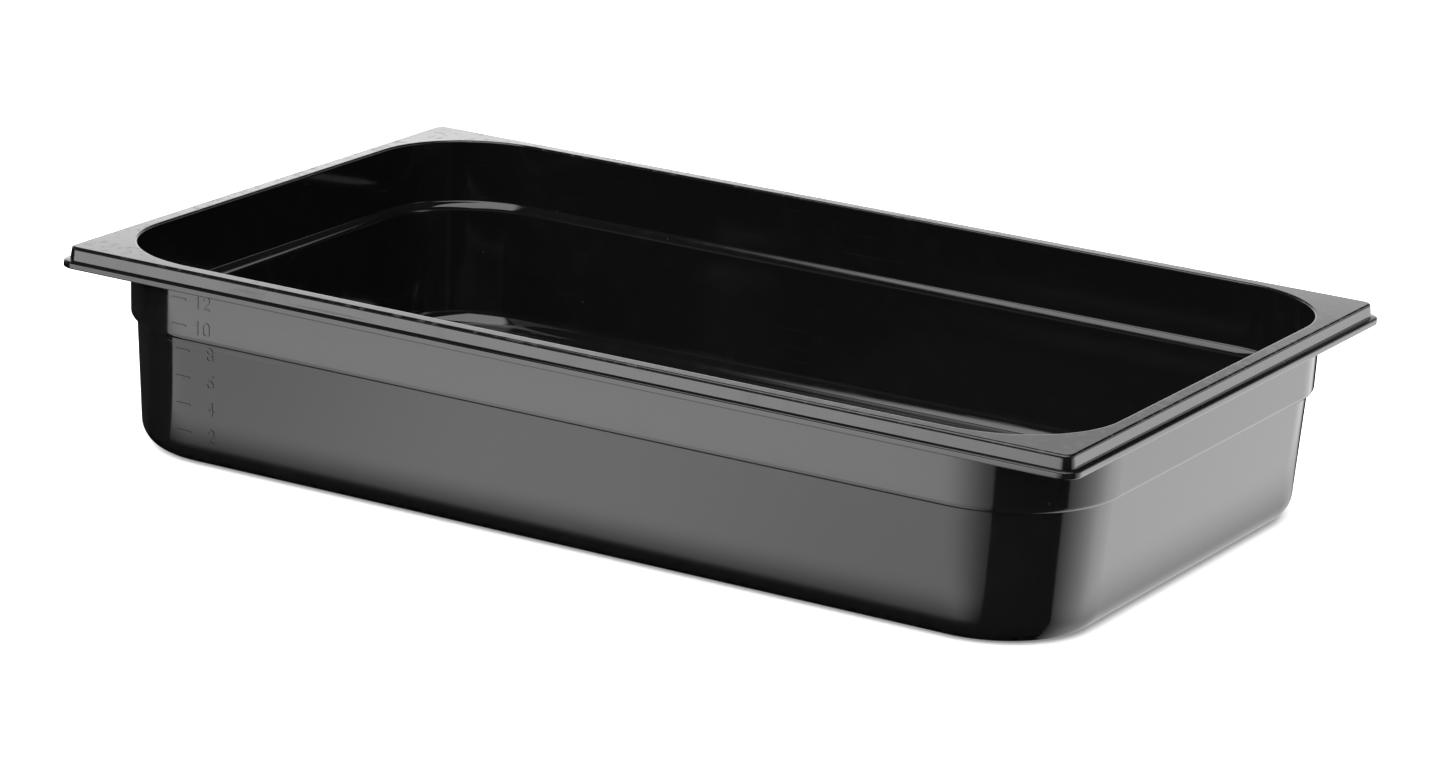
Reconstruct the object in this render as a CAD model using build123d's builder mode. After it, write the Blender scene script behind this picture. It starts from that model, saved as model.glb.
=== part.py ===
from build123d import *
from math import radians, tan
import os

# A full-size food pan: one black polycarbonate injection moulding, open at the top.
# Millimetres.  +X runs along the pan's length, +Y across it and +Z up.  The origin is
# under the middle of the pan, on the surface that it stands on.

# ------------------------------------------------------------------ driving dimensions
# Overall size, to the outer edge of the rim's lip
RIM_LENGTH = 530.0
RIM_WIDTH = 325.0
HEIGHT = 98.0

# Rim: a flat web around the mouth, a downturned skirt and a lip at the skirt's foot
RIM_DEPTH = 9.8
WEB_THICKNESS = 3.0
SKIRT_THICKNESS = 2.4
SKIRT_DRAFT = 7.0
SKIRT_CORNER_RADIUS = 6.0
RIM_EDGE_RADIUS = 1.2
MOUTH_EDGE_RADIUS = 1.0
LIP_THICKNESS = 3.4
LIP_REACH = 2.6
LIP_EDGE_RADIUS = 0.8

# Body: an upper band, a shoulder, and a lower wall that steps in below it.  The insets
# and the corner radius are taken at the level of the lip's underside.
WALL = 3.4
FLOOR = 3.4
BODY_INSET = 8.45
BODY_CORNER_RADIUS = 57.0
UPPER_DRAFT = 1.5
LOWER_DRAFT = 3.6
SHOULDER_DEPTH = 35.8
SHOULDER_STEP = 2.9
SHOULDER_RADIUS = 2.5
BOTTOM_RADIUS = 12.3

# Ledge inside the shoulder: a broad round, struck from a line that lies outside the lower
# wall and below the shoulder's foot, with a tight crease where it meets the upper wall
LEDGE_SETBACK = 2.1
LEDGE_DROP = 0.6
LEDGE_CREASE_RADIUS = 1.0

# Capacity scale: raised ticks and numerals near one end of the front wall, in US quarts
US_QUART = 946352.946
SCALE_TOP = 12
SCALE_STEP = 2
TICK_START = 60.0
TICK_LENGTH = 8.0
TICK_WIDTH = 0.9
NUMERAL_END = 81.0
NUMERAL_HEIGHT = 6.9
NUMERAL_WIDTH = 4.0
NUMERAL_PITCH = 4.8
NUMERAL_STROKE = 0.85
NUMERAL_WAIST = 0.55
MARK_RELIEF = 0.3

# Small values that the geometry needs and the pan doesn't show
LEVEL_TOLERANCE = 0.01
LEVEL_STEPS = 12

# ------------------------------------------------------------------------- worked out
LIP_UNDERSIDE = HEIGHT - RIM_DEPTH
WEB_MIDDLE = HEIGHT - WEB_THICKNESS / 2
SHOULDER_FOOT = HEIGHT - SHOULDER_DEPTH
CORNER_CENTRE = BODY_INSET + BODY_CORNER_RADIUS
UPPER_SLOPE = tan(radians(UPPER_DRAFT))
LOWER_SLOPE = tan(radians(LOWER_DRAFT))
LEDGE_RADIUS = WALL + LEDGE_SETBACK
LEDGE_TOP = SHOULDER_FOOT - LEDGE_DROP + LEDGE_RADIUS


def upper_inset(level):
    """How far in from the lip's edge the upper band's outer face lies at a level."""
    return BODY_INSET + (LIP_UNDERSIDE - level) * UPPER_SLOPE


def lower_inset(level):
    """How far in from the lip's edge the lower wall's outer face lies at a level."""
    return upper_inset(SHOULDER_FOOT) + SHOULDER_STEP + (SHOULDER_FOOT - level) * LOWER_SLOPE


def footprint(inset):
    """The body's outline at an inset.  The corners keep one centre, so all are concentric."""
    RectangleRounded(RIM_LENGTH - 2 * inset, RIM_WIDTH - 2 * inset, CORNER_CENTRE - inset)


def rim_outline(inset):
    """The rim's outline at an inset from the lip's edge, with its own tighter corners."""
    radius = SKIRT_CORNER_RADIUS + LIP_REACH - inset
    RectangleRounded(RIM_LENGTH - 2 * inset, RIM_WIDTH - 2 * inset, radius)


def outer_block(growth):
    """The body's outer shape as a full block up to the web, its faces moved out by a growth."""
    base = SHOULDER_FOOT - growth
    with BuildPart() as block:
        with BuildSketch(Plane.XY.offset(base)):
            footprint(upper_inset(base) - growth)
        extrude(amount=WEB_MIDDLE - base, taper=-UPPER_DRAFT)
        fillet(block.faces().sort_by(Axis.Z)[0].edges(), SHOULDER_RADIUS + growth)
        with BuildSketch():
            footprint(lower_inset(0) - growth)
        extrude(amount=SHOULDER_FOOT + SHOULDER_RADIUS, taper=-LOWER_DRAFT)
        fillet(block.faces().sort_by(Axis.Z)[0].edges(), BOTTOM_RADIUS + growth)
    return block.part


# ----------------------------------------------------------------------------- cavity
# The space inside the pan.  It cuts the pan and measures the scale, and isn't a piece.
with BuildPart() as ledge:
    # everything outside the lower wall's inner face, up to the top of the ledge's round
    with BuildSketch(Plane.XY.offset(FLOOR)):
        Rectangle(RIM_LENGTH, RIM_WIDTH)
    extrude(amount=LEDGE_TOP - FLOOR)
    with BuildSketch(Plane.XY.offset(FLOOR)):
        footprint(lower_inset(FLOOR) + WALL)
    extrude(amount=LEDGE_TOP - FLOOR, taper=-LOWER_DRAFT, mode=Mode.SUBTRACT)
    fillet(ledge.faces().sort_by(Axis.Z)[-1].inner_wires()[0].edges(), LEDGE_RADIUS)

with BuildPart() as cavity:
    with BuildSketch(Plane.XY.offset(FLOOR)):
        footprint(upper_inset(FLOOR) + WALL)
    extrude(amount=HEIGHT - FLOOR, taper=-UPPER_DRAFT)
    add(ledge.part, mode=Mode.SUBTRACT)
    fillet(cavity.faces().sort_by(Axis.Z)[0].edges(), BOTTOM_RADIUS - WALL)
    # the crease is the highest ring of level edges below the mouth
    level_edges = cavity.edges().filter_by(lambda edge: edge.bounding_box().size.Z < LEVEL_TOLERANCE)
    below_mouth = level_edges.filter_by_position(Axis.Z, FLOOR, LEDGE_TOP)
    fillet(below_mouth.group_by(Axis.Z)[-1], LEDGE_CREASE_RADIUS)

# -------------------------------------------------------------------------------- pan
with BuildPart() as pan:
    # the lip is a flat band around the foot of the skirt
    with BuildSketch(Plane.XY.offset(LIP_UNDERSIDE)):
        rim_outline(0)
    extrude(amount=LIP_THICKNESS)
    fillet(pan.faces().filter_by(Axis.Z).edges(), LIP_EDGE_RADIUS)
    # the skirt and the web start as one solid block that leans in towards its top
    with BuildSketch(Plane.XY.offset(LIP_UNDERSIDE)):
        rim_outline(LIP_REACH)
    extrude(amount=RIM_DEPTH, taper=SKIRT_DRAFT)
    fillet(pan.faces().sort_by(Axis.Z)[-1].edges(), RIM_EDGE_RADIUS)
    # the channel under the web is open at the bottom
    with BuildSketch(Plane.XY.offset(LIP_UNDERSIDE)):
        rim_outline(LIP_REACH + SKIRT_THICKNESS)
    extrude(amount=RIM_DEPTH - WEB_THICKNESS, taper=SKIRT_DRAFT, mode=Mode.SUBTRACT)
    # the body hangs from the web and is hollowed by the cavity
    add(outer_block(0))
    add(cavity.part, mode=Mode.SUBTRACT)
    web_top = pan.faces().sort_by(Axis.Z)[-1]
    fillet(web_top.inner_wires()[0].edges(), MOUTH_EDGE_RADIUS)

pan.part.label = "pan"


# --------------------------------------------------------------------- capacity marks
def fill_level(volume):
    """The height that a volume of liquid reaches in the pan."""
    mouth_area = RIM_LENGTH * RIM_WIDTH
    level = FLOOR
    for _ in range(LEVEL_STEPS):
        held = cavity.part.split(Plane.XY.offset(level), keep=Keep.BOTTOM)
        level += (volume - (held.volume if held else 0)) / mouth_area
    return level


# A numeral is drawn by the centre lines of its strokes, from the lower left one.
STROKE_WIDTH = NUMERAL_WIDTH - NUMERAL_STROKE
STROKE_HEIGHT = NUMERAL_HEIGHT - NUMERAL_STROKE
STROKE_RADIUS = STROKE_WIDTH / 2


def numeral_loop(bottom, top):
    """A closed loop of a numeral: two half circles with straight sides between them."""
    CenterArc((STROKE_RADIUS, bottom + STROKE_RADIUS), STROKE_RADIUS, 180, 180)
    CenterArc((STROKE_RADIUS, top - STROKE_RADIUS), STROKE_RADIUS, 0, 180)
    Line((0, bottom + STROKE_RADIUS), (0, top - STROKE_RADIUS))
    Line((STROKE_WIDTH, bottom + STROKE_RADIUS), (STROKE_WIDTH, top - STROKE_RADIUS))


def numeral_strokes(digit):
    """The centre lines of one even numeral, or of the 1 and 0 that 10 and 12 need."""
    shoulder = STROKE_HEIGHT - STROKE_RADIUS
    waist = STROKE_HEIGHT * NUMERAL_WAIST
    with BuildLine() as strokes:
        if digit == "0":
            numeral_loop(0, STROKE_HEIGHT)
        elif digit == "1":
            Polyline((0, shoulder), (STROKE_RADIUS, STROKE_HEIGHT), (STROKE_RADIUS, 0))
        elif digit == "2":
            hook = CenterArc((STROKE_RADIUS, shoulder), STROKE_RADIUS, 180, -215)
            Polyline(hook @ 1, (0, 0), (STROKE_WIDTH, 0))
        elif digit == "4":
            stem = STROKE_WIDTH * 3 / 4
            bar = STROKE_HEIGHT / 3
            Polyline((stem, 0), (stem, STROKE_HEIGHT), (0, bar), (STROKE_WIDTH, bar))
        elif digit == "6":
            numeral_loop(0, waist)
            tail = STROKE_HEIGHT - waist + STROKE_RADIUS
            JernArc((0, waist - STROKE_RADIUS), (0, 1), tail, -75)
        elif digit == "8":
            numeral_loop(0, waist)
            numeral_loop(waist, STROKE_HEIGHT)
    return strokes.edges()


NUMERALS = {digit: numeral_strokes(digit) for digit in "012468"}
LEVELS = {
    quarts: fill_level(quarts * US_QUART) for quarts in range(SCALE_STEP, SCALE_TOP + 1, SCALE_STEP)
}

with BuildPart() as capacity_marks:
    # the marks are drawn on an upright plane in front of the pan and pushed back into it
    with BuildSketch(Plane.XZ.offset(RIM_WIDTH / 2)):
        for quarts, level in LEVELS.items():
            with Locations((TICK_START - RIM_LENGTH / 2, level)):
                Rectangle(TICK_LENGTH, TICK_WIDTH, align=(Align.MIN, Align.CENTER))
            for place, digit in enumerate(reversed(str(quarts))):
                across = NUMERAL_END - RIM_LENGTH / 2 - STROKE_WIDTH - place * NUMERAL_PITCH
                with Locations((across, level - STROKE_HEIGHT / 2)):
                    for stroke in NUMERALS[digit]:
                        SlotArc(stroke, NUMERAL_STROKE)
    extrude(amount=-(lower_inset(0) + WALL))
    # only the skin that stands on the wall is kept, so the marks follow its curves
    add(outer_block(0), mode=Mode.SUBTRACT)
    add(outer_block(MARK_RELIEF), mode=Mode.INTERSECT)

capacity_marks.part.label = "capacity_marks"

# ------------------------------------------------------------------------------ files
os.makedirs("parts", exist_ok=True)
export_step(pan.part, "parts/pan.step")
export_step(capacity_marks.part, "parts/capacity_marks.step")
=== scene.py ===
# %% [markdown]
# # A full-size food pan in black polycarbonate
# The real pan is one injection moulding: molten plastic fills the gap between two
# halves of a steel mould and comes out as a single open box with a rim.
# The measured CAD model is loaded first and is never moved. It gives every place and
# size below. All lengths are in metres, X runs along the pan, Y across it and Z up.

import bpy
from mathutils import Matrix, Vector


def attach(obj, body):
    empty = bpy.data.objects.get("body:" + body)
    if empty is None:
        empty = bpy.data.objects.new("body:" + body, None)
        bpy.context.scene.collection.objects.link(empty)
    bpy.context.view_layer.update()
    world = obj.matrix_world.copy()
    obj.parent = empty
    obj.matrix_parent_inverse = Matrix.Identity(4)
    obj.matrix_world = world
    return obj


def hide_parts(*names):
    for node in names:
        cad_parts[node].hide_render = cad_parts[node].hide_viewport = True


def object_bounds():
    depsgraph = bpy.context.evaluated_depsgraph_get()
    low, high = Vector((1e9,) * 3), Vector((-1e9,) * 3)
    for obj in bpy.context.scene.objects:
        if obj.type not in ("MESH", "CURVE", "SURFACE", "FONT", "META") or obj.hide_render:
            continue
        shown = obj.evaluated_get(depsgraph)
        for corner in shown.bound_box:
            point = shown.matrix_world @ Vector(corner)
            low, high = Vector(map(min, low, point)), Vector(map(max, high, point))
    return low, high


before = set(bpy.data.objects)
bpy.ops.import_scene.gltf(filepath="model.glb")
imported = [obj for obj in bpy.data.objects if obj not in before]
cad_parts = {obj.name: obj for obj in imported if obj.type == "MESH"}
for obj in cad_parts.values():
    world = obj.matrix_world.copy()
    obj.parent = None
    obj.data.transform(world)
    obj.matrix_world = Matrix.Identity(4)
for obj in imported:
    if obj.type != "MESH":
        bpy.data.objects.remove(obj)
cad_low, cad_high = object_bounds()
print("CAD box", [round(v, 4) for v in (*cad_low, *cad_high)])

# %% Tools and units
import math

import bmesh
import bpy
from mathutils import Quaternion, Vector
from mathutils.bvhtree import BVHTree

MM = 0.001
LENGTH, WIDTH, HEIGHT = cad_high - cad_low

# %% [markdown]
# ## The camera
# A long lens from well back keeps the pan's long edges nearly parallel, which is how
# catalogue pictures of kitchen ware are taken. The camera could be placed by angles,
# but a standpoint, a target and a small roll are easier to read and to change.

# %% Stand the camera
CAMERA_PLACE = Vector((1.19784, -2.12308, 0.75205))
CAMERA_TARGET = Vector((0.01477, -0.02135, 0.049))
CAMERA_ROLL = math.radians(2.973)

bpy.ops.object.camera_add(location=CAMERA_PLACE)
camera = bpy.context.object
camera.name = "camera"
camera.rotation_mode = "QUATERNION"
level_look = (CAMERA_TARGET - CAMERA_PLACE).to_track_quat("-Z", "Y")
camera.rotation_quaternion = level_look @ Quaternion((0, 0, 1), CAMERA_ROLL)
camera.data.lens = 134.51
camera.data.sensor_width = 36
camera.data.clip_end = 100
bpy.context.scene.camera = camera
print("camera looks from", tuple(round(v, 3) for v in camera.location))

# %% [markdown]
# ## How the shell is modelled
# Every wall of the pan follows the same rounded rectangle, moved further in as it goes
# down. So a wall is written as a list of (inset, level) points: how far in from the
# rim's outer edge, and how high. A flat plate with rounded corners is the start, and
# the Inset tool walks its face along that list. Inset keeps the corners concentric,
# which scaling wouldn't do, and each step leaves a clean ring of four-sided faces.

# %% Points along a rounded edge
def round_edge(inset, level, radius, start, stop, steps):
    """Points on a round about a centre. The angles are degrees below the horizontal."""
    points = []
    for step in range(steps + 1):
        angle = math.radians(start + (stop - start) * step / steps)
        points.append((inset - radius * math.cos(angle), level - radius * math.sin(angle)))
    return points


HOLD = 0.5 * MM
LONG_STRETCH = 2.5 * MM


def hold_ends(points):
    """Adds a point close to each end of a long flat stretch, so that it shades flat."""
    held = [points[0]]
    for here, there in zip(points, points[1:]):
        run = math.dist(here, there)
        if run > LONG_STRETCH:
            for share in (HOLD / run, 1 - HOLD / run):
                held.append(tuple(a + (b - a) * share for a, b in zip(here, there)))
        held.append(there)
    return held


# %% A plate with rounded corners
CORNER_STEPS = 24
CORNER_HOLD = 2 * MM
CIRCLE = 0.5  # the bevel tool's profile value for a true quarter circle


def edit_select(plate, keep):
    """In edit mode, leaves selected only the edges that keep() says yes to."""
    bpy.ops.mesh.select_mode(type="EDGE")
    bpy.ops.mesh.select_all(action="DESELECT")
    shape = bmesh.from_edit_mesh(plate.data)
    for edge in shape.edges:
        if keep(edge):
            edge.select_set(True)
    shape.select_flush_mode()
    bmesh.update_edit_mesh(plate.data)


def rounded_plate(name, inset, level, radius, faces_up):
    """A plate with its edge at an inset and a level. Edit mode stays on, its face selected."""
    bpy.ops.object.select_all(action="DESELECT")
    bpy.ops.mesh.primitive_plane_add(size=1, location=(0, 0, 0))
    plate = bpy.context.object
    plate.name = name
    bpy.ops.object.mode_set(mode="EDIT")
    size_x, size_y = LENGTH - 2 * inset, WIDTH - 2 * inset
    bpy.ops.transform.resize(value=(size_x, size_y, 1))
    bpy.ops.transform.translate(value=(0, 0, level))
    bpy.ops.mesh.select_mode(type="VERT")
    bpy.ops.mesh.bevel(offset=radius, segments=CORNER_STEPS, profile=CIRCLE, affect="VERTICES")
    bpy.ops.mesh.delete(type="ONLY_FACE")
    # two more points on each straight side, slid out to stand beside the corners
    shortest = min(size_x, size_y) - 2 * radius
    edit_select(plate, lambda edge: edge.calc_length() > 0.5 * shortest)
    bpy.ops.mesh.subdivide(number_cuts=2)
    for axis, size in ((0, size_x), (1, size_y)):
        third = (size / 2 - radius) / 3
        middles = lambda edge: all(abs(abs(v.co[axis]) - third) < MM for v in edge.verts)
        edit_select(plate, middles)
        stretch = [1, 1, 1]
        stretch[axis] = (size / 2 - radius - CORNER_HOLD) / third
        bpy.ops.transform.resize(value=stretch, center_override=(0, 0, 0))
    bpy.ops.mesh.select_all(action="SELECT")
    bpy.ops.mesh.edge_face_add()
    if (bmesh.from_edit_mesh(plate.data).faces[:][0].normal.z > 0) != faces_up:
        bpy.ops.mesh.flip_normals()
    return plate


# %% Walk a plate's face along a profile
def walk(name, profile, radius, faces_up, closed):
    """Makes one skin of the pan. A closed skin keeps its last face, as a floor."""
    plate = rounded_plate(name, *profile[0], radius, faces_up)
    for (inset, level), (further_in, next_level) in zip(profile, profile[1:]):
        rise = next_level - level
        bpy.ops.mesh.inset(thickness=further_in - inset, depth=rise if faces_up else -rise)
    if not closed:
        bpy.ops.mesh.delete(type="FACE")
    bpy.ops.object.mode_set(mode="OBJECT")
    print(name, len(plate.data.vertices), "vertices,", len(profile) - 1, "rings")
    return plate


# %% [markdown]
# ## Heights and slopes of the walls
# A moulded box is never straight-sided: each wall leans a little, called draft, so that
# the part slides off the steel. The upper band leans by 1.5 degrees and the lower wall
# by 3.6. Between them is a shoulder, on which a second pan stands when pans are nested.

# %% The walls' lines
WALL = 3.4 * MM
BODY_INSET = 8.45 * MM
CORNER_CENTRE = BODY_INSET + 57.0 * MM
LIP_FOOT = HEIGHT - 9.8 * MM
WEB_UNDERSIDE = HEIGHT - 3.0 * MM
SHOULDER = HEIGHT - 35.8 * MM
SHOULDER_STEP = 2.9 * MM
UPPER_DRAFT, LOWER_DRAFT = 1.5, 3.6


def upper_wall(level):
    """The inset of the upper band's outer face at a level."""
    return BODY_INSET + (LIP_FOOT - level) * math.tan(math.radians(UPPER_DRAFT))


def lower_wall(level):
    """The inset of the lower wall's outer face at a level."""
    step_in = upper_wall(SHOULDER) + SHOULDER_STEP
    return step_in + (SHOULDER - level) * math.tan(math.radians(LOWER_DRAFT))


def beside(wall, level, draft, radius):
    """The centre of a round that touches a leaning wall at about this level."""
    return wall(level) + radius / math.cos(math.radians(draft))


print("upper band's inset at 80 mm", round(upper_wall(80 * MM) / MM, 2), "mm")
print("lower wall's inset at 30 mm", round(lower_wall(30 * MM) / MM, 2), "mm")

# %% [markdown]
# ## The shoulder and the ledge
# Outside, the upper band turns under in a tight round onto a narrow flat. Inside, the
# same step is a ledge with a broad round, so that food scrapes off it easily, and a
# small crease where it meets the upper wall. The crease touches both, so its centre is
# as far from the ledge's centre as the two radii together, which is printed as a check.

# %% The rounds of the shoulder and the ledge
SHOULDER_ROUND = 2.5 * MM
shoulder_level = SHOULDER + SHOULDER_ROUND
shoulder_inset = beside(upper_wall, shoulder_level, UPPER_DRAFT, SHOULDER_ROUND)

LEDGE_ROUND, CREASE_ROUND = 5.5 * MM, 1.0 * MM
LEDGE_DROP = 0.6 * MM
ledge_level = SHOULDER - LEDGE_DROP
ledge_inset = beside(lower_wall, ledge_level, LOWER_DRAFT, -LEDGE_ROUND) + WALL
crease_level = 67.113 * MM
crease_inset = beside(upper_wall, crease_level, UPPER_DRAFT, CREASE_ROUND) + WALL
apart = math.dist((ledge_inset, ledge_level), (crease_inset, crease_level))
ledge_turn = math.degrees(math.atan2(crease_level - ledge_level, crease_inset - ledge_inset))
print("ledge and crease centres are", round(apart / MM, 3), "mm apart, turn", round(ledge_turn, 1))

# %% [markdown]
# ## The inside of the pan
# From the rim's mouth the skin goes down the upper band, over the ledge, down the lower
# wall and round into the floor. The floor is left as one flat face.

# %% Model the inside
FLOOR_ROUND, FLOOR_ROUND_LEVEL = 8.9 * MM, 12.3 * MM
MOUTH_ROUND = 1.0 * MM
mouth_inset = 10.62 * MM
floor_inset = beside(lower_wall, FLOOR_ROUND_LEVEL, LOWER_DRAFT, FLOOR_ROUND) + WALL
inside_profile = hold_ends(
    [(mouth_inset - HOLD, HEIGHT)]
    + round_edge(mouth_inset, HEIGHT - MOUTH_ROUND, MOUTH_ROUND, -90, -180 + UPPER_DRAFT, 6)
    + round_edge(crease_inset, crease_level, CREASE_ROUND, UPPER_DRAFT, ledge_turn, 6)
    + round_edge(
        ledge_inset, ledge_level, LEDGE_ROUND, 180 + ledge_turn, 180 + LOWER_DRAFT, 10
    )[1:]
    + round_edge(floor_inset, FLOOR_ROUND_LEVEL, FLOOR_ROUND, LOWER_DRAFT, 90, 14)
    + [(floor_inset + HOLD, FLOOR_ROUND_LEVEL - FLOOR_ROUND)]
)
inside = walk("inside", inside_profile, CORNER_CENTRE - inside_profile[0][0], True, True)

# %% [markdown]
# ## The outside of the body
# The outer skin starts under the rim and ends on the flat base. Its plate faces down,
# so that the rings which Inset leaves face outwards.

# %% Model the outside
BASE_ROUND = 12.3 * MM
base_inset = beside(lower_wall, BASE_ROUND, LOWER_DRAFT, BASE_ROUND)
outside_profile = hold_ends(
    [(upper_wall(WEB_UNDERSIDE), WEB_UNDERSIDE)]
    + round_edge(shoulder_inset, shoulder_level, SHOULDER_ROUND, UPPER_DRAFT, 90, 10)
    + [(lower_wall(SHOULDER), SHOULDER)]
    + round_edge(base_inset, BASE_ROUND, BASE_ROUND, LOWER_DRAFT, 90, 18)
    + [(base_inset + HOLD, 0.0)]
)
outside = walk("outside", outside_profile, CORNER_CENTRE - outside_profile[0][0], False, True)

# %% [markdown]
# ## The rim
# The flat web around the mouth turns down into a short skirt with a thin lip at its
# foot, which makes the edge stiff and easy to grip. Its corners are much tighter than
# the body's, so the rim gets plates of its own: one skin above and one below.

# %% Model the rim
RIM_CORNER = 8.6 * MM
LIP_REACH, LIP_THICK, LIP_ROUND = 2.6 * MM, 3.4 * MM, 0.8 * MM
SKIRT_THICK, SKIRT_LEAN = 2.4 * MM, 7.0
RIM_ROUND = 1.2 * MM
lean = math.tan(math.radians(SKIRT_LEAN))
lip_top = LIP_FOOT + LIP_THICK
rim_round_level = HEIGHT - RIM_ROUND
skirt_inset = LIP_REACH + (rim_round_level - LIP_FOOT) * lean
rim_round_inset = skirt_inset + RIM_ROUND / math.cos(math.radians(SKIRT_LEAN))
rim_top_profile = hold_ends(
    [(0.0, LIP_FOOT + LIP_ROUND)]
    + round_edge(LIP_ROUND, lip_top - LIP_ROUND, LIP_ROUND, 0, -90, 5)
    + [(LIP_REACH + LIP_THICK * lean, lip_top)]
    + round_edge(rim_round_inset, rim_round_level, RIM_ROUND, -SKIRT_LEAN, -90, 6)
    + [(rim_round_inset + HOLD, HEIGHT)]
)
rim_top = walk("rim_top", rim_top_profile, RIM_CORNER, True, False)

channel_inset = LIP_REACH + SKIRT_THICK
channel_top = channel_inset + (WEB_UNDERSIDE - LIP_FOOT) * lean
rim_under_profile = hold_ends(
    round_edge(LIP_ROUND, LIP_FOOT + LIP_ROUND, LIP_ROUND, 0, 90, 5)
    + [(channel_inset, LIP_FOOT), (channel_top, WEB_UNDERSIDE)]
)
rim_under = walk("rim_under", rim_under_profile, RIM_CORNER, False, False)

# %% [markdown]
# ## One closed skin
# The four skins are joined. Doubled points at the lip are merged, and Bridge closes the
# two gaps left in the web, above and below. Each pair of edges has the same number of
# points, so the bridges are clean rings as well.

# %% Join and bridge
MERGE_WITHIN = 0.01 * MM
AT_LEVEL = 0.1 * MM
SHARP_FROM = math.radians(30)

bpy.ops.object.select_all(action="DESELECT")
for skin in (inside, outside, rim_top, rim_under):
    skin.select_set(True)
bpy.context.view_layer.objects.active = inside
bpy.ops.object.join()
pan_shell = bpy.context.object
pan_shell.name = pan_shell.data.name = "pan_shell"

bpy.ops.object.mode_set(mode="EDIT")
bpy.ops.mesh.select_all(action="SELECT")
bpy.ops.mesh.remove_doubles(threshold=MERGE_WITHIN)
for web_level in (HEIGHT, WEB_UNDERSIDE):
    off_level = lambda edge: abs(edge.verts[0].co.z - web_level)
    edit_select(pan_shell, lambda edge: edge.is_boundary and off_level(edge) < AT_LEVEL)
    bpy.ops.mesh.bridge_edge_loops()
bpy.ops.mesh.select_all(action="SELECT")
bpy.ops.mesh.normals_make_consistent(inside=False)
bpy.ops.object.mode_set(mode="OBJECT")
bpy.ops.object.shade_smooth_by_angle(angle=SHARP_FROM)

# %% Measure the skin against the CAD
cad_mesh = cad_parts["pan"].data
cad_tree = BVHTree.FromPolygons(
    [v.co for v in cad_mesh.vertices], [p.vertices for p in cad_mesh.polygons]
)
furthest = max(cad_tree.find_nearest(v.co)[3] for v in pan_shell.data.vertices)
skin = bmesh.new()
skin.from_mesh(pan_shell.data)
loose_edges = sum(not edge.is_manifold for edge in skin.edges)
volume = skin.calc_volume(signed=True)
skin.free()
print("furthest point from the CAD", round(furthest / MM, 4), "mm; open edges", loose_edges)
print("volume", round(volume * 1e6, 2), "cubic cm")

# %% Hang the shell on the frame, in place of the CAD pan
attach(pan_shell, "root")
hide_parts("pan")
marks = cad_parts["capacity_marks"]

# %% [markdown]
# ## Shader maths as plain expressions
# A procedural finish is arithmetic on noise. Wired by hand, every sum is one more node.
# This small class wraps a node's output, so that "1 - mask * 0.5" adds those nodes.

# %% A socket that does arithmetic
class Wire:
    """One output in a material's node tree."""

    def __init__(self, tree, output=None):
        self.tree, self.output = tree, output

    def node(self, kind, settings=None, inputs=None, output=0):
        """Adds a node. Its settings are set first, then its sockets' values or links."""
        made = self.tree.nodes.new(kind)
        for name, value in (settings or {}).items():
            setattr(made, name, value)
        for socket, value in (inputs or {}).items():
            if isinstance(value, Wire):
                self.tree.links.new(value.output, made.inputs[socket])
            else:
                made.inputs[socket].default_value = value
        return Wire(self.tree, made.outputs[output] if made.outputs else None)

    def maths(self, operation, first, second):
        return self.node("ShaderNodeMath", {"operation": operation}, {0: first, 1: second})

    def __add__(self, other):
        return self.maths("ADD", self, other)

    def __sub__(self, other):
        return self.maths("SUBTRACT", self, other)

    def __rsub__(self, other):
        return self.maths("SUBTRACT", other, self)

    def __mul__(self, other):
        return self.maths("MULTIPLY", self, other)

    __radd__, __rmul__ = __add__, __mul__

    def ease(self, low, high):
        """A smooth step: 0 below low, 1 above high. Swapped ends turn it round."""
        ends = {"From Min": min(low, high), "From Max": max(low, high)}
        if low > high:
            ends |= {"To Min": 1.0, "To Max": 0.0}
        smooth = {"interpolation_type": "SMOOTHSTEP"}
        return self.node("ShaderNodeMapRange", smooth, {"Value": self, **ends})

    def ramp(self, low, high):
        """A straight ramp: 0 below low, 1 above high."""
        ends = {"From Min": low, "From Max": high}
        return self.node("ShaderNodeMapRange", None, {"Value": self, **ends})

    def noise(self, scale, detail=2.0, roughness=0.5):
        return self.node(
            "ShaderNodeTexNoise", None,
            {"Vector": self, "Scale": scale, "Detail": detail, "Roughness": roughness},
        )

    def axis(self, name):
        return self.node("ShaderNodeSeparateXYZ", None, {"Vector": self}, name)

    def stretch(self, turn, scale):
        """Turns and scales a place, for a pattern that runs in one direction."""
        return self.node(
            "ShaderNodeMapping", None, {"Vector": self, "Rotation": turn, "Scale": scale}
        )


def fresh_material(name):
    """An empty material: its tree, and the object's own coordinates as a Wire."""
    material = bpy.data.materials.new(name)
    material.use_nodes = True
    material.node_tree.nodes.clear()
    start = Wire(material.node_tree)
    return material, start, start.node("ShaderNodeTexCoord", None, None, "Object")


# %% [markdown]
# ## Black polycarbonate
# The plastic is black all through and comes off polished steel, so almost all that is
# seen is reflection. A perfect black mirror looks false. Real ones have a faint fine
# texture from the mould, cloudier and clearer patches, hair scratches from stacking,
# and a few specks of dust. Each is a layer of noise at its own size.

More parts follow.
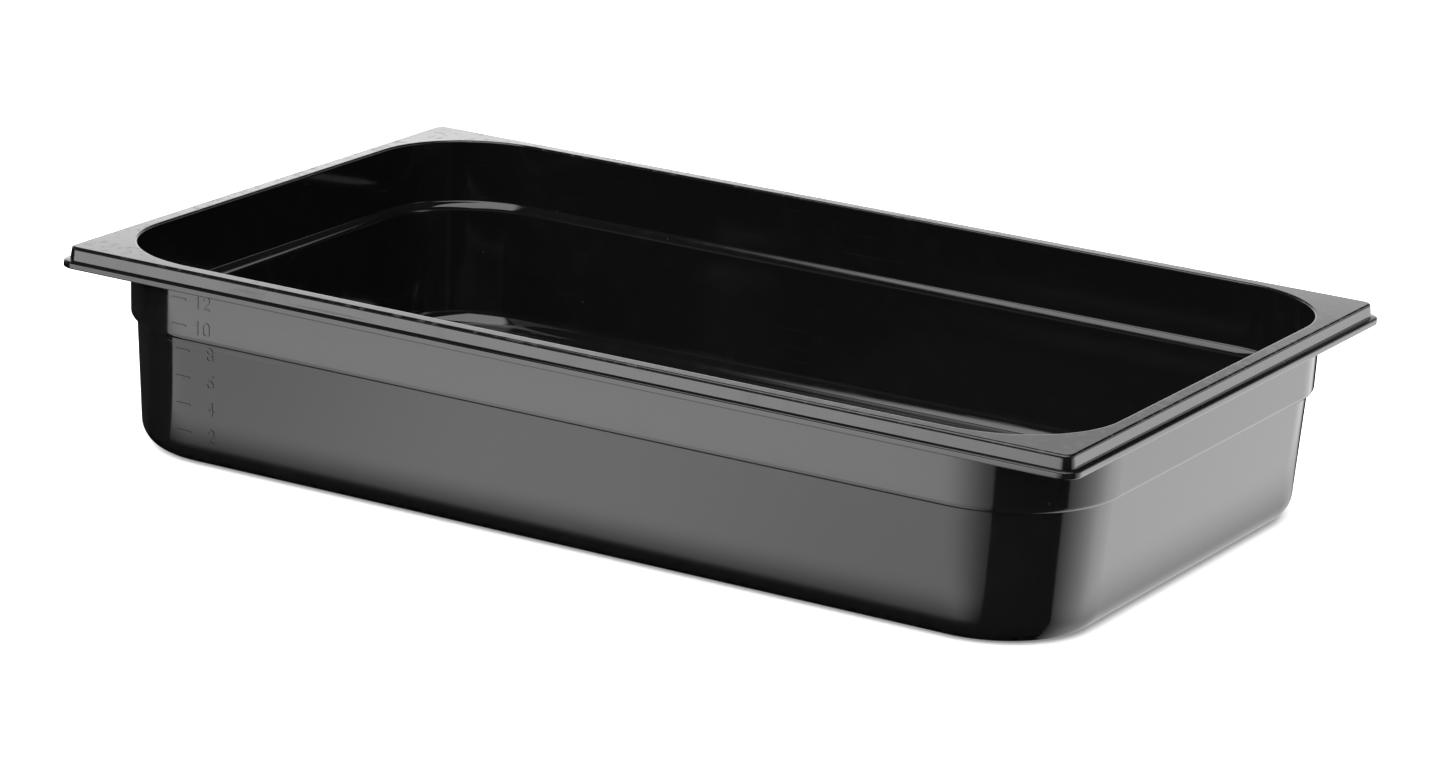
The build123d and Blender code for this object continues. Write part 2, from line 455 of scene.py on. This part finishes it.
# %% Mix the black plastic
def black_plastic(name, clear, cloudy, scuffed):
    """Gloss runs from clear to cloudy; scuffed is how strongly handling shows."""
    material, start, place = fresh_material(name)
    patches = place.noise(9.0, 3.0).ease(0.35, 0.7)
    clouds = place.noise(70.0, 4.0, 0.6).ease(0.4, 0.75)
    grain = place.noise(1500.0, 2.0)
    ripple = place.noise(16.0, 1.0)

    hairs = None
    for turn, seed in ((0.35, 1.0), (-0.9, 2.0), (1.9, 3.0)):
        long_way = place.stretch((0.2 * seed, 0.1, turn), (9.0, 420.0, 420.0))
        hair = long_way.noise(1.0, 1.0).ease(0.7, 0.76)
        hairs = hair if hairs is None else hairs + hair
    hairs = hairs * place.noise(21.0).ease(0.5, 0.62) * scuffed

    cells = start.node(
        "ShaderNodeTexVoronoi", {"feature": "F1"}, {"Vector": place, "Scale": 240.0}
    )
    tint = start.node(
        "ShaderNodeTexVoronoi", {"feature": "F1"}, {"Vector": place, "Scale": 240.0}, "Color"
    )
    few = tint.axis("X").ease(0.93, 0.94)
    specks = cells.ease(0.055, 0.03) * few * tint.axis("Y").ease(0.2, 0.9)

    edge = place.axis("Z").ease(HEIGHT - 1.5 * MM, HEIGHT - 0.4 * MM)
    rub = edge * place.noise(260.0, 3.0).ease(0.5, 0.66) * scuffed

    roughness = clear + patches * clouds * (cloudy - clear)
    roughness = roughness + hairs * 0.12 + rub * 0.12 + specks * 0.4
    height = grain * 0.0035 + ripple * 0.05 - hairs * 0.006 + specks * 0.02
    normal = start.node(
        "ShaderNodeBump", None, {"Strength": 0.5, "Distance": 1.0 * MM, "Height": height}, "Normal"
    )
    lift = (clouds * 0.25 + rub * 0.9 + hairs * 0.25 + specks * 6.0).ease(0.0, 8.0)
    colour = start.node(
        "ShaderNodeMix", {"data_type": "RGBA"},
        {0: lift, 6: (0.0035, 0.0035, 0.0038, 1), 7: (0.3, 0.3, 0.3, 1)}, 2,
    )
    shader = start.node(
        "ShaderNodeBsdfPrincipled", None,
        {"Base Color": colour, "Roughness": roughness, "Normal": normal, "IOR": 1.58},
    )
    start.node("ShaderNodeOutputMaterial", None, {"Surface": shader})
    print(name, len(material.node_tree.nodes), "nodes")
    return material


def dress(piece, material):
    """Gives a piece one material."""
    piece.data.materials.clear()
    piece.data.materials.append(material)


dress(pan_shell, black_plastic("black_polycarbonate", 0.07, 0.16, 1.0))

# %% [markdown]
# ## The capacity marks
# The ticks and numerals are cut into the mould, so they stand out from the front wall
# by a third of a millimetre, in the same plastic. An engraved pocket in the steel is
# never polished as well as the wall beside it, so the marks are a little duller.
# Their CAD shape is right and stays. Only the material is new.

# %% Finish the marks
marks_finish = black_plastic("black_polycarbonate_marks", 0.16, 0.26, 0.6)
for slot in marks.material_slots:
    slot.material = marks_finish
print("marks carry", [slot.material.name for slot in marks.material_slots])

# %% [markdown]
# ## The floor
# A plain pale sheet, lit brightly and evenly, as in a product studio. A broad sun with
# a very wide disc gives the same light everywhere and only the softest shadow. The paint
# glows a little as well, like a light table, so that hardly any of the shadow is left.

# %% Lay the floor
def plain_card(name, size, place):
    """A flat level card of some size, as a part of the stage."""
    bpy.ops.object.select_all(action="DESELECT")
    bpy.ops.mesh.primitive_plane_add(size=1, location=place)
    card = bpy.context.object
    card.name = name
    card.scale = (size[0], size[1], 1)
    bpy.ops.object.transform_apply(location=True, rotation=True, scale=True)
    return card


floor = plain_card("floor", (40, 40), (0, 0, 0))
floor_paint, start, place = fresh_material("pale_floor")
tone = start.node(
    "ShaderNodeMix", {"data_type": "RGBA"},
    {0: place.noise(3.0), 6: (0.86, 0.86, 0.86, 1), 7: (0.88, 0.88, 0.88, 1)}, 2,
)
paint = start.node(
    "ShaderNodeBsdfPrincipled", None,
    {
        "Base Color": tone, "Roughness": 0.9, "IOR": 1.3,
        "Emission Color": (1, 1, 1, 1), "Emission Strength": 0.25,
    },
)
start.node("ShaderNodeOutputMaterial", None, {"Surface": paint})
dress(floor, floor_paint)
floor.visible_glossy = False

bpy.ops.object.light_add(type="SUN", location=(0, 0, 3), rotation=(0.25, -0.15, 0))
sun = bpy.context.object
sun.name = "soft_top_light"
sun.data.energy = 9.0
sun.data.angle = math.radians(110)
sun.visible_glossy = False

# %% [markdown]
# ## The cards
# Black gloss shows only what is reflected in it, so a studio lights it with white cards
# placed around it and leaves dark gaps between them, which draw its corners. Each card
# here glows and is seen in reflections only, not by the camera. A wall shows the floor
# close to it low down and further off higher up, so distance on a card is height on the
# pan. Round a corner, the wall shows the card at changing bearings.

# %% A glowing card
def glow(card, strength_of):
    """Lets a card glow in reflections, by a strength worked out from its own place."""
    material, start, place = fresh_material(card.name)
    shader = start.node("ShaderNodeEmission", None, {"Color": strength_of(place), "Strength": 1.0})
    start.node("ShaderNodeOutputMaterial", None, {"Surface": shader})
    material.cycles.emission_sampling = "NONE"
    dress(card, material)
    card.visible_camera = card.visible_diffuse = card.visible_shadow = False
    card.visible_transmission = card.visible_volume_scatter = False
    print("card", card.name)


def bearing(place, x, y):
    """Each point's angle round a spot on the floor, in degrees: 0 is ahead, 90 to the right."""
    across, ahead = place.axis("X") - x, (place.axis("Y") - y) * -1
    return place.maths("ARCTAN2", across, ahead) * (180 / math.pi)


# %% The card in front
def front_glow(place):
    """Strips for the base, the lower wall, the upper band and the skirt, cut at both ends."""
    to_front = place.axis("Y") * -1
    for_walls = to_front.ease(0.150, 0.198)  # the round at the base stays dark
    for_band = to_front.ease(0.270, 0.320)
    for_skirt = to_front.ease(0.45, 0.80)

    # the lower wall shows only the nearest strip, which fades towards both ends
    along = place.axis("X") + (to_front - 0.15) * 0.52
    wall_ends = along.ease(-0.04, -0.20) * 0.21 + along.ease(0.02, 0.16) * 0.1
    strength = (1 - wall_ends * (1 - for_band)) * 2.45 + for_band * 0.9 + for_skirt * 0.75
    middle = (place.axis("X") + 0.05) * 2.0
    fade_ends = 1 - middle * middle * 0.3 * (1 - for_skirt)

    from_right = bearing(place, 0.215, -0.150)
    fade_right = 1 - from_right.ease(-38, 30) * 0.85
    cut_right = from_right.ease(23, 20)
    cut_left = bearing(place, -0.222, -0.149).ease(-50, -47.5)
    return for_walls * strength * fade_ends * fade_right * cut_right * cut_left


front_card = plain_card("front_card", (4.4, 3.4), (-1.65, -1.83, 1 * MM))
glow(front_card, front_glow)


# %% The card on the right
def right_glow(place):
    """Grows brighter round the pan's corner, and is dimmer close to the base."""
    to_right = place.axis("X")
    for_walls = to_right.ease(0.232, 0.250) * (0.4 + to_right.ease(0.240, 0.285) * 0.6)
    from_corner = bearing(place, 0.235, -0.125)
    strength = 0.3 + from_corner.ramp(84, 134) * 2.5 - from_corner.ease(137, 156) * 0.5
    return for_walls * strength * from_corner.ease(87, 90)


right_card = plain_card("right_card", (1.4, 1.6), (0.93, 0.64, 1 * MM))
glow(right_card, right_glow)

# %% A band of light all round
bpy.ops.object.select_all(action="DESELECT")
bpy.ops.mesh.primitive_cylinder_add(
    vertices=96, radius=3.0, depth=0.8, end_fill_type="NOTHING", location=(0, 0, 0.82)
)
band = bpy.context.object
band.name = "band"
bpy.ops.object.transform_apply(location=True, rotation=True, scale=True)


def band_glow(place):
    """Brightest low down behind the pan, for the rim's flat web, and dim in front."""
    to_left = place.axis("X") * -1
    low = 0.75 + place.axis("Z").ease(0.98, 0.74) * 1.3
    behind = 0.12 + place.axis("Y").ease(-0.4, 0.4) * 0.88
    left_end = to_left.ease(1.35, 1.8) * place.axis("Z").ease(0.72, 0.86) * 0.6
    return low * behind * (0.9 + to_left.ease(0.95, 1.15) * 0.1 + left_end)


glow(band, band_glow)

# %% The overhead panel
# its left edge is cut off, so that it draws a line along the right of the rim only
overhead = plain_card("overhead", (2.6, 2.2), (0, -0.95, 1.5))
glow(overhead, lambda place: place.axis("X").ease(-0.9, -0.7) * 3.0)

# %% [markdown]
# ## Behind everything
# The floor fills most views. A low one also sees past it, so a pale dome stands behind,
# seen by the camera only. The world itself is nearly dark, which keeps blacks black.

# %% The dome and the world
NEARLY_DARK = (0.02, 0.02, 0.02, 1)

bpy.ops.object.select_all(action="DESELECT")
bpy.ops.mesh.primitive_uv_sphere_add(segments=48, ring_count=24, radius=25)
dome = bpy.context.object
dome.name = "dome"
dome_paint, start, place = fresh_material("dome")
shine = start.node("ShaderNodeEmission", None, {"Color": (1, 1, 1, 1), "Strength": 1.1})
start.node("ShaderNodeOutputMaterial", None, {"Surface": shine})
dome_paint.cycles.emission_sampling = "NONE"
dress(dome, dome_paint)
dome.visible_glossy = dome.visible_diffuse = dome.visible_shadow = False
dome.visible_transmission = dome.visible_volume_scatter = False

world = bpy.data.worlds.new("studio")
bpy.context.scene.world = world
world.use_nodes = True
world.node_tree.nodes["Background"].inputs["Color"].default_value = NEARLY_DARK
bpy.context.scene.view_settings.view_transform = "Standard"
